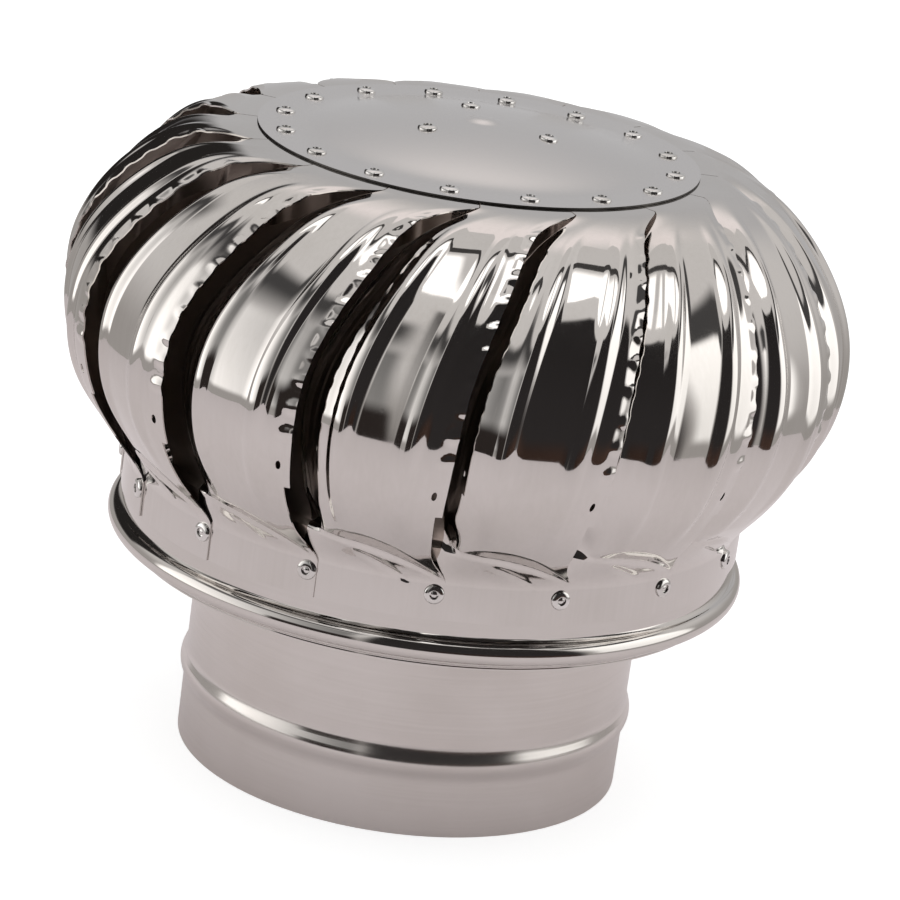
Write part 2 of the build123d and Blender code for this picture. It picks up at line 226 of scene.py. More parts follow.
finishValues = {
    "polishedBlades": {
        "Grain Stretch": (700, 700, 10), "Grain Relief": 0.10, "Smear Size": 26.0,
        "Bright Polish": 0.035, "Dull Polish": 0.085, "Pin Marks": 0.6,
        "Clean Tone": (0.71, 0.685, 0.665, 1), "Smeared Tone": (0.66, 0.635, 0.61, 1)},
    # the blades' inside and tucked strip: a rougher back of the sheet, with a darker brown tone that
    # is painted shade for the gaps between blades
    "bladeInsideShade": {
        "Grain Stretch": (120, 120, 10), "Grain Relief": 0.02, "Smear Size": 30.0,
        "Bright Polish": 0.3, "Dull Polish": 0.38, "Pin Marks": 0.0,
        "Clean Tone": (0.46, 0.395, 0.35, 1), "Smeared Tone": (0.39, 0.33, 0.29, 1)},
    "headSheet": {
        "Grain Stretch": (50, 1100, 50), "Grain Relief": 0.12, "Smear Size": 14.0,
        "Bright Polish": 0.15, "Dull Polish": 0.21, "Pin Marks": 0.1,
        "Clean Tone": (0.73, 0.71, 0.70, 1), "Smeared Tone": (0.715, 0.695, 0.685, 1)},
    "ringSheet": {
        "Grain Stretch": (14, 14, 900), "Grain Relief": 0.12, "Smear Size": 22.0,
        "Bright Polish": 0.055, "Dull Polish": 0.11, "Pin Marks": 0.3,
        "Clean Tone": (0.70, 0.675, 0.655, 1), "Smeared Tone": (0.665, 0.64, 0.615, 1)},
    "neckSheet": {
        "Grain Stretch": (16, 16, 1000), "Grain Relief": 0.3, "Smear Size": 16.0,
        "Bright Polish": 0.15, "Dull Polish": 0.24, "Pin Marks": 0.3,
        "Clean Tone": (0.70, 0.675, 0.655, 1), "Smeared Tone": (0.65, 0.62, 0.595, 1)},
    "rivetSteel": {
        "Grain Stretch": (300, 300, 300), "Grain Relief": 0.2, "Smear Size": 120.0,
        "Bright Polish": 0.06, "Dull Polish": 0.14, "Pin Marks": 0.2,
        "Clean Tone": (0.78, 0.77, 0.76, 1), "Smeared Tone": (0.66, 0.65, 0.63, 1)},
    # the disc's outer edge: near black, painted shade for the shadow line under the disc's rim
    "discEdgeShade": {
        "Grain Stretch": (400, 400, 400), "Grain Relief": 0.4, "Smear Size": 60.0,
        "Bright Polish": 0.4, "Dull Polish": 0.55, "Pin Marks": 0.0,
        "Clean Tone": (0.09, 0.085, 0.08, 1), "Smeared Tone": (0.05, 0.047, 0.045, 1)},
    "pressedPlate": {
        "Grain Stretch": (40, 500, 40), "Grain Relief": 0.5, "Smear Size": 40.0,
        "Bright Polish": 0.24, "Dull Polish": 0.4, "Pin Marks": 0.8,
        "Clean Tone": (0.60, 0.59, 0.57, 1), "Smeared Tone": (0.48, 0.47, 0.45, 1)},
    "groundSteel": {
        "Grain Stretch": (50, 50, 1800), "Grain Relief": 0.3, "Smear Size": 90.0,
        "Bright Polish": 0.1, "Dull Polish": 0.2, "Pin Marks": 0.1,
        "Clean Tone": (0.66, 0.66, 0.67, 1), "Smeared Tone": (0.55, 0.55, 0.56, 1)},
    "turnedSteel": {
        "Grain Stretch": (60, 60, 2200), "Grain Relief": 0.5, "Smear Size": 60.0,
        "Bright Polish": 0.2, "Dull Polish": 0.36, "Pin Marks": 0.5,
        "Clean Tone": (0.58, 0.58, 0.57, 1), "Smeared Tone": (0.44, 0.43, 0.41, 1)},
}
finishes = {name: metalFinish(name, polish) for name, polish in finishValues.items()}

# Bearing parts that aren't listed are ground steel, and what is left are the blades
finishNodes = {
    "neckSheet": ["neck_collar"],
    "ringSheet": ["lower_ring"],
    "headSheet": ["top_disc"],
    "pressedPlate": [
        "neck_cross_bracket", "head_spider", "lower_bearing_housing", "top_bearing_housing"],
    "rivetSteel": [
        "neck_bracket_rivets", "lower_housing_rivets", "top_housing_rivets", "disc_rim_rivets",
        "ring_rivets"],
    "turnedSteel": [
        "rotor_shaft", "bracket_lower_nut", "bracket_upper_nut", "bracket_washers",
        "lower_bearing_shim", "bearing_spacer_tube", "top_bearing_washer", "shaft_top_nut"],
}
nodeFinish = {name: finish for finish, names in finishNodes.items() for name in names}
for name, piece in nodes.items():
    finish = nodeFinish.get(name, "groundSteel" if "bearing" in name else "polishedBlades")
    piece.data.materials.clear()
    piece.data.materials.append(finishes[finish])
print("finishes made:", len(finishes))

# Blades

sharpAngles = {"blade": 50, "piece": 42}  # faces that meet at more than this keep a sharp edge
bladeShape = {
    "count": 16,
    "turn": 173.6,  # the first blade's rivet
    "edgeAngle": 8.3,  # from the rivet to the tab's free corner
    "sheet": 0.5,
    "width": 50.0,  # at the widest place
    "tabInner": 58.0,
    "tabLength": 20.0,
    "curveLength": 147.6,
    "skirtLength": 17.8,
    "tabBottom": 86.2,
    "bendEase": 3.0,  # the straight bend line at the tab turns into the round form within this
    "tuckWidth": 12.0,  # the tucked side goes on under the next blade
    "tuckFrom": (15.0, 35.0),
    "tuckTo": (138.0, 147.0),
    "tuckGrowth": 0.7,  # wider low down, where the gap is seen at a slant
    "tuckGrowFrom": (75.0, 110.0),
    "tuckLeast": 0.02,
    "scoopDepth": 10.5,
    "curlShare": 0.38,
    "leanShare": 0.25,
    "ribRise": 1.5,
    "ribWidth": 3.9,
    "ribPower": 1.3,
    "ribPlaces": (0.32, 0.765),
    "flangeDrop": 0.9,
    "flangeWidth": 4.6,
    "flangeSteepness": 1.6,
    "lapFlat": 0.22,
    "lapEase": 0.5,
    "lapDepth": 0.6,
    "crimpStart": 15.0,  # half-round crimps in the free edge, measured down from the bend line
    "crimpEnd": 99.0,
    "crimpPitch": 8.7,
    "crimpWander": 0.6,
    "crimpLength": 3.0,
    "crimpReach": 3.5,
    "crimpRamp": 0.75,
    "crimpRise": 0.6,
    "crimpVary": (0.7, 1.2),
    "stepAt": 114.0,  # the free edge steps back here
    "stepStart": 68.0,
    "stepRamp": (64.0, 108.0),
    "stepWidth": 2.4,
    "holeAt": 105.5,
    "holeIn": 1.6,
    "holeSize": (1.7, 0.85),
    "holeMargin": 0.3,
    "foldAt": 134.5,  # buckle where the belly meets the skirt
    "foldWander": 1.0,
    "foldSlope": 2.0,
    "foldSweep": 10.0,
    "foldVary": (0.45, 1.15),
    "foldDepth": 0.15,
    "foldHigh": 6.4,
    "foldPower": 0.7,
    "foldLeast": 0.2,
    "foldEdge": 1.2,
    "foldStart": 0.12,
    "pocketDepth": 2.2,  # the belly's tucked corner dives behind the skirt's
    "pocketSide": (0.03, 0.17),
    "pocketAbove": (15.0, 1.0),
    "slitDepth": 0.6,  # short sharp dent below the buckle
    "slitMiddle": (0.42, 0.6),
    "slitHalf": (0.13, 0.2),
    "slitBelow": 5.5,
    "slitSlope": 3.0,
    "slitWidth": 0.8,
    "dentRise": 0.3,  # soft dents from pressing and handling
    "dentVary": (-1.0, 0.4),
    "dentCount": 7,
    "dentDown": (22.0, 118.0),
    "dentSide": (0.35, 0.98),
    "dentWide": (5.0, 11.0),
    "dentTall": (7.0, 18.0),
    "seed": 7,
}
# share of the curve, radius, height, slope, twist, span, scoop, rib, flange, lap
bladeStations = np.array([
    (-0.02, 75.05, 212.10, 0.0, 0.00, 22.2, 0.00, 0.0, 0.0, 0.00),
    (0.000, 78.00, 212.10, 0.0, 0.00, 22.2, 0.00, 0.0, 0.0, 0.00),
    (0.025, 81.69, 211.97, -4.3, 3.26, 21.4, 0.10, 0.0, 0.1, 0.00),
    (0.065, 87.52, 211.12, -12.4, 8.45, 21.6, 0.38, 0.0, 0.6, 0.00),
    (0.128, 96.24, 207.97, -27.5, 12.48, 22.5, 0.72, 0.3, 1.0, 0.00),
    (0.229, 107.92, 198.82, -46.3, 15.55, 23.4, 0.95, 0.9, 1.0, 0.00),
    (0.354, 119.62, 184.58, -55.6, 18.62, 23.6, 1.00, 1.0, 1.0, 0.00),
    (0.492, 127.96, 166.14, -76.9, 21.12, 23.2, 1.00, 1.0, 1.0, 0.17),
    (0.631, 129.02, 145.75, -96.3, 22.66, 22.4, 0.98, 1.0, 1.0, 0.54),
    (0.756, 123.91, 128.12, -116.0, 23.33, 21.4, 0.86, 0.8, 0.8, 0.88),
    (0.869, 114.89, 114.13, -128.0, 23.23, 20.9, 0.50, 0.1, 0.0, 1.00),
    (0.951, 107.36, 104.66, -127.0, 21.89, 22.9, 0.12, 0.0, 0.0, 1.00),
    (1.000, 103.90, 98.40, -90.0, 19.78, 27.1, 0.00, 0.0, 0.0, 1.00),
    (1.030, 103.90, 94.00, -90.0, 19.78, 27.1, 0.00, 0.0, 0.0, 1.00),
])


# Smooth curve through the stations, as a function of the share of the way down
def smoothThrough(shares, values):
    n, gap = len(shares), np.diff(shares)
    system, right = np.eye(n), np.zeros_like(values)
    for i in range(1, n - 1):
        system[i, i - 1:i + 2] = gap[i - 1], 2 * (gap[i - 1] + gap[i]), gap[i]
        after = (values[i + 1] - values[i]) / gap[i]
        right[i] = 6 * (after - (values[i] - values[i - 1]) / gap[i - 1])
    bend = np.linalg.solve(system, right)

    def at(share):
        i = np.clip(np.searchsorted(shares, share) - 1, 0, n - 2)
        a = ((shares[i + 1] - share) / gap[i])[:, None]
        b = 1 - a
        curved = ((a**3 - a) * bend[i] + (b**3 - b) * bend[i + 1]) * gap[i][:, None] ** 2 / 6
        return a * values[i] + b * values[i + 1] + curved

    return at


alongBlade = smoothThrough(bladeStations[:, 0], bladeStations[:, 1:])


def easeStep(value, low, high):
    t = np.clip((value - low) / (high - low), 0, 1)
    return t * t * (3 - 2 * t)


# Outer surface of the first blade, at millimetres down from the bend line and a share across
def bladeSurface(down, across, shape):
    share = np.clip(down / shape["curveLength"], 0, 1)
    radius, height, slope, twist, span, scoop, rib, flange, lap = alongBlade(share).T
    slope = np.radians(slope)
    out, up = -np.sin(slope), np.cos(slope)
    curl = np.clip(1 - across / shape["curlShare"], 0, 1) ** 2 * (1 - shape["leanShare"])
    drop = scoop * shape["scoopDepth"] * (curl + shape["leanShare"] * (1 - across))
    width = radius * np.radians(span)
    fromEdge = (1 - across) * width
    flat = np.maximum(0, 1 - fromEdge / shape["flangeWidth"])
    drop += flange * shape["flangeDrop"] * flat * np.minimum(1, shape["flangeSteepness"] * flat)
    ribShare = shape["ribWidth"] / shape["width"]
    bumps = 0
    for place in shape["ribPlaces"]:
        bumps += np.clip(1 - ((across - place) / ribShare) ** 2, 0, 1) ** shape["ribPower"]
    rise = np.maximum(0, rib) * shape["ribRise"] * bumps - drop
    eased = np.clip((across - shape["lapFlat"]) / shape["lapEase"], 0, 1)
    rise -= lap * shape["lapDepth"] * (0.5 + 0.5 * np.cos(pi * eased))
    turn = np.radians(span * (across - 0.5))
    around = radius + out * rise
    straight = np.clip(1 - down / shape["bendEase"], 0, 1)
    around *= 1 + straight * (np.cos(np.radians(span / 2)) / np.cos(turn) - 1)
    tab = np.clip(-down / shape["tabLength"], 0, 1)
    around += tab * (shape["tabInner"] - around)
    z = height + up * rise
    below = np.clip((down - shape["curveLength"]) / shape["skirtLength"], 0, 1)
    z += below * (shape["tabBottom"] - z)
    angle = np.radians(shape["turn"] + shape["edgeAngle"] - twist - span / 2) + turn
    return np.stack([around * np.cos(angle), around * np.sin(angle), z], 1), fromEdge


# Rise of the pressed details above that surface: crimps, the buckle over the skirt, soft dents
def bladeDetails(down, across, fromEdge, shape, rng):
    rise = np.zeros_like(down)
    for place in np.arange(shape["crimpStart"], shape["crimpEnd"], shape["crimpPitch"]):
        place += rng.uniform(-shape["crimpWander"], shape["crimpWander"])
        depth = shape["crimpRise"] * rng.uniform(*shape["crimpVary"])
        away = np.hypot((down - place) / shape["crimpLength"], fromEdge / shape["crimpReach"])
        rise += depth * easeStep(1 - away, 0, shape["crimpRamp"])
    # the buckle: a lens that dives in, steps back out along a sharp line, and a slit dent below it
    fold = shape["foldAt"] + rng.uniform(-shape["foldWander"], shape["foldWander"])
    fold = fold + shape["foldSlope"] * across + shape["foldSweep"] * across**4
    size = rng.uniform(*shape["foldVary"])
    inward = np.clip((across - shape["foldStart"]) / (1 - shape["foldStart"]), 0, 1)
    lens = np.sin(pi * inward) ** shape["foldPower"]
    high = shape["foldHigh"] * size * lens + shape["foldLeast"]
    above = np.clip((fold - down) / high, 0, 1)
    below = 1 - easeStep(down, fold, fold + shape["foldEdge"])
    rise -= shape["foldDepth"] * high * (1 - above) * below
    pocket = shape["pocketDepth"] * (1 - easeStep(across, *shape["pocketSide"]))
    pocketTop, pocketFloor = shape["pocketAbove"]
    rise -= pocket * easeStep(down, fold - pocketTop, fold - pocketFloor) * below
    slitMiddle = rng.uniform(*shape["slitMiddle"])
    slitHalf = rng.uniform(*shape["slitHalf"])
    along = (across - slitMiddle) / slitHalf
    slit = down - (fold + shape["slitBelow"] + shape["slitSlope"] * along)
    groove = np.exp(-((slit / shape["slitWidth"]) ** 2))
    rise -= shape["slitDepth"] * size * groove * np.clip(1 - along**2, 0, 1)
    for _ in range(shape["dentCount"]):
        middle = rng.uniform(*shape["dentDown"])
        side = rng.uniform(*shape["dentSide"])
        wide = rng.uniform(*shape["dentWide"])
        tall = rng.uniform(*shape["dentTall"])
        bump = ((down - middle) / tall) ** 2 + ((across - side) * shape["width"] / wide) ** 2
        rise += shape["dentRise"] * rng.uniform(*shape["dentVary"]) * np.exp(-bump)
    return rise


def facesSquare(points, quads):
    corners = points[quads]
    face = np.cross(corners[:, 2] - corners[:, 0], corners[:, 3] - corners[:, 1])
    square = np.zeros_like(points)
    for k in range(4):
        np.add.at(square, quads[:, k], face)
    length = np.linalg.norm(square, axis=1)
    length[length == 0] = 1
    return square / length[:, None]


# Closed sheet from a grid of points: outer face, inner face one sheet behind it, and the rim. The
# inner face and the tucked quads take the second material, whose darker brown tone is painted shade
# for the gaps between blades.
def sheetMesh(name, outer, quads, tucked, thickness):
    inner = outer - facesSquare(outer, quads) * thickness
    count = len(outer)
    sides = np.concatenate([quads[:, [k, (k + 1) % 4]] for k in range(4)]).tolist()
    seen = {(a, b) for a, b in sides if a != b}
    rim = [(b, a, a + count, b + count) for a, b in sides if a != b and (b, a) not in seen]
    faces = quads.tolist() + (quads[:, ::-1] + count).tolist() + rim
    faces = [tuple(dict.fromkeys(face)) for face in faces]
    mesh = bpy.data.meshes.new(name)
    mesh.from_pydata((np.concatenate([outer, inner]) * mm).tolist(), [], faces)
    second = tucked.tolist() + [True] * len(quads) + [False] * len(rim)
    mesh.polygons.foreach_set("material_index", second)
    mesh.shade_smooth()
    mesh.set_sharp_from_angle(angle=radians(sharpAngles["blade"]))
    return mesh


# Mesh lines at even steps in each run of start, end and count
def linesFrom(runs):
    lines = []
    for start, end, count in runs:
        lines += list(np.linspace(start, end, count, endpoint=False))
    return np.array(lines + [runs[-1][1]])


# A blade's mesh lines down from the bend line and across, closer where the form needs them
def bladeLines(shape):
    step = shape["stepAt"]
    foot = shape["curveLength"] + shape["skirtLength"]
    down = [
        (-shape["tabLength"], 0, 3), (0, 12, 8), (12, 102, 112), (102, step, 13), (step, 126, 8),
        (126, 156, 40), (156, foot, 4),
    ]
    across = [
        (-shape["tuckWidth"] / shape["width"], 0.0, 6), (0.0, 0.24, 8), (0.24, 0.40, 10),
        (0.40, 0.69, 8), (0.69, 0.85, 10), (0.85, 1.0, 10),
    ]
    return linesFrom(down), linesFrom(across)


# Grid of one blade: the sheet, the strip beyond the stepped edge, and a ring of quads round the hole
def bladeGrid(shape):
    down, across = bladeLines(shape)
    rows, wide = len(down), len(across)
    gridDown, gridAcross = [g.ravel() for g in np.meshgrid(down, across, indexing="ij")]
    index = np.arange(rows * wide).reshape(rows, wide)
    tuck = easeStep(gridDown, *shape["tuckFrom"]) * (1 - easeStep(gridDown, *shape["tuckTo"]))
    tuck *= 1 + shape["tuckGrowth"] * easeStep(gridDown, *shape["tuckGrowFrom"])
    tucked = gridAcross * np.maximum(tuck, shape["tuckLeast"])
    gridAcross = np.where(gridAcross < 0, tucked, gridAcross)
    holeAt, margin = shape["holeAt"], shape["holeMargin"]
    holeTall = shape["holeSize"][0]
    holeWide = shape["holeSize"][1] / shape["width"]
    holeShare = 1 - shape["holeIn"] / shape["width"]
    top = int(np.searchsorted(down, holeAt - holeTall - margin)) - 1
    bottom = int(np.searchsorted(down, holeAt + holeTall + margin))
    left = int(np.searchsorted(across, holeShare - holeWide - margin / shape["width"])) - 1
    right = wide - 1
    quads = []
    for i in range(rows - 1):
        for j in range(wide - 1):
            if not (top <= i < bottom and left <= j < right):
                quads.append((index[i, j], index[i + 1, j], index[i + 1, j + 1], index[i, j + 1]))
    loop = [index[i, left] for i in range(top, bottom)]
    loop += [index[bottom, j] for j in range(left, right)]
    loop += [index[i, right] for i in range(bottom, top, -1)]
    loop += [index[top, j] for j in range(right, left, -1)]
    firstHole = len(gridDown)
    holeDown, holeAcross = [], []
    for k in loop:
        turn = np.arctan2((gridAcross[k] - holeShare) / holeWide, (gridDown[k] - holeAt) / holeTall)
        holeDown.append(holeAt + holeTall * np.cos(turn))
        holeAcross.append(holeShare + holeWide * np.sin(turn))
    for k in range(len(loop)):
        m = (k + 1) % len(loop)
        quads.append((loop[k], loop[m], firstHole + m, firstHole + k))
    # strip beyond the edge, two quads wide, down to its square step
    firstStrip = firstHole + len(loop)
    lastRow = int(np.argmin(np.abs(down - shape["stepAt"])))
    stripRows = [i for i in range(lastRow + 1) if down[i] >= shape["stepStart"]]
    stripDown, stripAcross = [], []
    for i in stripRows:
        grown = easeStep(down[i], *shape["stepRamp"]) * shape["stepWidth"] / shape["width"]
        stripDown += [down[i], down[i]]
        stripAcross += [1 + grown / 2, 1 + grown]
    for n, i in enumerate(stripRows[:-1]):
        a, b = firstStrip + 2 * n, firstStrip + 2 * n + 2
        quads.append((index[i, -1], index[i + 1, -1], b, a))
        quads.append((a, b, b + 1, a + 1))
    gridDown = np.concatenate([gridDown, holeDown, stripDown])
    gridAcross = np.concatenate([gridAcross, holeAcross, stripAcross])
    return gridDown, gridAcross, np.array(quads)


def makeBlades(shape):
    down, across, quads = bladeGrid(shape)
    plain, fromEdge = bladeSurface(down, across, shape)
    square = facesSquare(plain, quads)
    # the grid is the outer face, so it looks away from the axis
    if np.sum((square * plain)[:, :2]) < 0:
        quads, square = quads[:, ::-1], -square
    tucked = across[quads].max(axis=1) <= 0
    for i in range(shape["count"]):
        rng = np.random.default_rng(shape["seed"] + i)
        outer = plain + square * bladeDetails(down, across, fromEdge, shape, rng)[:, None]
        angle = 2 * pi / shape["count"] * i
        cosine, sine = np.cos(angle), np.sin(angle)
        spin = np.array([[cosine, sine, 0], [-sine, cosine, 0], [0, 0, 1]])
        mesh = sheetMesh(f"bladeSheet{i + 1:02d}", outer @ spin, quads, tucked, shape["sheet"])
        blade = bpy.data.objects.new(f"bladeSheet{i + 1:02d}", mesh)
        mesh.materials.append(finishes["polishedBlades"])
        # second material: painted shade on the inner face and the tucked strip
        mesh.materials.append(finishes["bladeInsideShade"])
        scene.collection.objects.link(blade)
        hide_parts(f"blade_{i + 1:02d}")
        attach(blade, "rotor")


makeBlades(bladeShape)
print("blades made:", bladeShape["count"])

# Disc, ring and rivets

headDisc = {
    "radius": 72.5,
    "rim": 212.5,  # middle of the sheet
    "sheet": 0.6,
    "domeRadius": 57.0,
    "domeRise": 7.6,
    "domeFoot": 0.6,  # rounding of the dome's foot
    "bumpRadius": 6.8,
    "bumpFlat": 1.6,
    "bumpRise": 0.99,
    "axisGap": 0.02,
    "bumpLines": (0.5, 7.0, 20),
    "domeLines": (8.0, 49.0, 30),
    "footLines": (50.0, 64.0, 29),
    "rimLine": 66.0,
    "steps": 192,
}
lowerRing = {
    "sheet": 0.6,
    "wall": 102.4,
    "wallLines": 6,
    "top": 101.0,
    "beadHeight": 76.4,
    "beadRadius": 3.5,
    "beadMiddle": 102.9,
    "beadTurns": (78, -120, 34),
    "overBead": 1.4,  # where the straight wall ends above the bead
    "lip": 99.9,
    "lipShares": (0.12, 1, 16),
    "bottom": 69.6,
    "lipGroove": 0.35,
    "steps": 256,
}
rivet = {
    "head": 3.2,
    "rise": 1.15,
    "edge": 0.28,
    "crownShares": (0.08, 1, 10),
    "recess": 1.45,
    "recessFoot": (0.92, 0.42),  # shares of the recess and of the rise
    "mandrel": 0.95,
    "mandrelForm": ((1.04, 0.36), (1.0, 0.62), (0.7, 0.74)),  # shares of the mandrel and the rise
    "mandrelTop": 0.76,
    "axisGap": 0.02,
    "shank": 1.6,
    "bulb": 2.3,
    "bulbLength": 2.4,
    "steps": 32,
}
# Rows round the axis; every fourth rivet of the ring also holds an arm of the spider
rivetRows = {
    "discRivets": {
        "node": "disc_rim_rivets", "count": 16, "turn": 173.6, "radius": 64.5, "height": 212.8,
        "lean": 0.0, "grips": [1.3]},
    "capRivets": {
        "node": "top_housing_rivets", "count": 3, "turn": 101.5, "radius": 23.0, "height": 219.18,
        "lean": 6.07, "grips": [1.7]},
    "ringRivets": {
        "node": "ring_rivets", "count": 16, "turn": 160.4, "radius": 103.9, "height": 94.8,
        "lean": 90.0, "grips": [3.2, 1.9, 1.9, 1.9]},
}


# Turns a closed outline of radius and height about the upright axis
def spinPoints(outline, steps):
    turns = np.linspace(0, 2 * pi, steps, endpoint=False)
    r, z = np.array(outline).T
    points = [np.stack([r * np.cos(t), r * np.sin(t), z], 1) for t in turns]
    count, faces = len(r), []
    for i in range(steps):
        for j in range(count):
            a, b, k = i * count, (i + 1) % steps * count, (j + 1) % count
            faces.append((a + j, b + j, b + k, a + k))
    return np.concatenate(points), faces


# The sheet's outline from its middle line
def sheetOutline(middle, thickness):
    line = np.array(middle, float)
    along = np.gradient(line, axis=0)
    square = np.stack([along[:, 1], -along[:, 0]], 1) / np.linalg.norm(along, axis=1)[:, None]
    return np.concatenate([line + square * thickness / 2, (line - square * thickness / 2)[::-1]])


def metalPiece(name, points, faces, finish, nodeName, body, edgeRow=None):
    mesh = bpy.data.meshes.new(name)
    mesh.from_pydata((points * mm).tolist(), [], faces)
    mesh.validate()
    mesh.shade_smooth()
    mesh.set_sharp_from_angle(angle=radians(sharpAngles["piece"]))
    mesh.materials.append(finishes[finish])
    if edgeRow:  # the sheared outer edge, painted near black as painted shade for the shadow line under the rim: this row of faces in every step round
        row, rows = edgeRow
        mesh.materials.append(finishes["discEdgeShade"])
        onEdge = [i % rows == row for i in range(len(mesh.polygons))]
        mesh.polygons.foreach_set("material_index", onEdge)
    piece = bpy.data.objects.new(name, mesh)
    scene.collection.objects.link(piece)
    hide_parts(nodeName)
    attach(piece, body)


def discMiddle(shape):
    bumpLines, domeLines = np.linspace(*shape["bumpLines"]), np.linspace(*shape["domeLines"])
    rimLines = [*np.linspace(*shape["footLines"]), shape["rimLine"], shape["radius"]]
    r = np.concatenate([[shape["axisGap"]], bumpLines, domeLines, rimLines])
    rise, foot = shape["domeRise"], shape["domeFoot"]
    curve = (shape["domeRadius"] ** 2 + rise**2) / (2 * rise)
    dome = rise - curve + np.sqrt(curve**2 - r**2)
    dome = foot * np.logaddexp(0, dome / foot)
    bump = shape["bumpRise"] * (1 - easeStep(r, shape["bumpFlat"], shape["bumpRadius"]))
    return np.stack([r, shape["rim"] + dome + bump], 1)


def ringMiddle(shape):
    bead, middle, height = shape["beadRadius"], shape["beadMiddle"], shape["beadHeight"]
    turns = np.radians(np.linspace(*shape["beadTurns"]))
    rolled = [(middle + bead * np.cos(t), height + bead * np.sin(t)) for t in turns]
    wallEnd = rolled[0][1] + shape["overBead"]
    upper = [(shape["wall"], z) for z in np.linspace(shape["top"], wallEnd, shape["wallLines"])]
    # the lip under the bead narrows in two shallow grooves
    start, lower = np.array(rolled[-1]), []
    for share in np.linspace(*shape["lipShares"]):
        r, z = start + (np.array([shape["lip"], shape["bottom"]]) - start) * share
        lower.append((r - shape["lipGroove"] * np.sin(share * 2 * pi) ** 2, z))
    return upper + rolled + lower


def rivetOutline(shape, grip):
    head, rise, edge = shape["head"], shape["rise"], shape["edge"]
    recess, mandrel, gap = shape["recess"], shape["mandrel"], shape["axisGap"]
    crown = [(head, 0), (head, edge)]
    for share in np.linspace(*shape["crownShares"]):
        r = head - (head - recess) * share
        crown.append((r, edge + (rise - edge) * np.sqrt(1 - (1 - share) ** 2)))
    middle = [(recess * shape["recessFoot"][0], rise * shape["recessFoot"][1])]
    middle += [(mandrel * across, rise * up) for across, up in shape["mandrelForm"]]
    middle += [(gap, rise * shape["mandrelTop"])]
    bulb, long, shank = shape["bulb"], shape["bulbLength"], shape["shank"]
    tail = [(gap, -grip - long), (bulb / 2, -grip - long), (bulb, -grip - long / 2)]
    tail += [(bulb, -grip), (shank, -grip), (shank, 0)]
    return crown + middle + tail


# Copies of the rivet, each turned round the axis and leaned from upright
def makeRivets(name, row, shape):
    allPoints, allFaces, done = [], [], 0
    place = Matrix.Translation((row["radius"], 0, row["height"]))
    place = place @ Matrix.Rotation(radians(row["lean"]), 4, "Y")
    for i in range(row["count"]):
        grip = row["grips"][i % len(row["grips"])]
        points, faces = spinPoints(rivetOutline(shape, grip), shape["steps"])
        turned = Matrix.Rotation(radians(row["turn"]) + 2 * pi / row["count"] * i, 4, "Z") @ place
        allPoints.append(points @ np.array(turned.to_3x3()).T + np.array(turned.translation))
        allFaces += [tuple(v + done for v in face) for face in faces]
        done += len(points)
    points = np.concatenate(allPoints)
    metalPiece(name, points, allFaces, "rivetSteel", row["node"], "rotor")


def makeDisc(shape):
    middle = discMiddle(shape)
    points, faces = spinPoints(sheetOutline(middle, shape["sheet"]), shape["steps"])
    edgeRow = (len(middle) - 1, 2 * len(middle))
    metalPiece("headDisc", points, faces, "headSheet", "top_disc", "rotor", edgeRow)


def makeRing(shape):
    points, faces = spinPoints(sheetOutline(ringMiddle(shape), shape["sheet"]), shape["steps"])
    metalPiece("rolledRing", points, faces, "ringSheet", "lower_ring", "rotor")


makeDisc(headDisc)
makeRing(lowerRing)
for name, row in rivetRows.items():
    makeRivets(name, row, rivet)
print("disc, ring and rivets made")

# Studio

studio = {
    "floorSize": 12000.0,
    "floorSeen": (0.62, 0.62, 0.62, 1),
    "floorGlow": 0.62,
    # the floor the metal mirrors: painted light near the object, darker further out
    "floorNearPaintedLight": (0.86, 0.795, 0.80, 1),
    "floorFar": (0.64, 0.59, 0.595, 1),
    "floorLightFade": (0.10, 0.46),  # metres from the object's middle, over which the painted light near the object fades to the far tone
    "cardSteps": 32,
    "worldTone": (1, 1, 1, 1),
    "worldStrength": 1.0,
}
# Values of a card or softbox that names none: how strong it glows, shares of that at its left, right,
# bottom and top, and how much of its width and height fades out at the sides, bottom and top
plainCard = {"strength": 1.0, "shares": (1, 1, 1, 1), "fades": (0, 0, 0)}
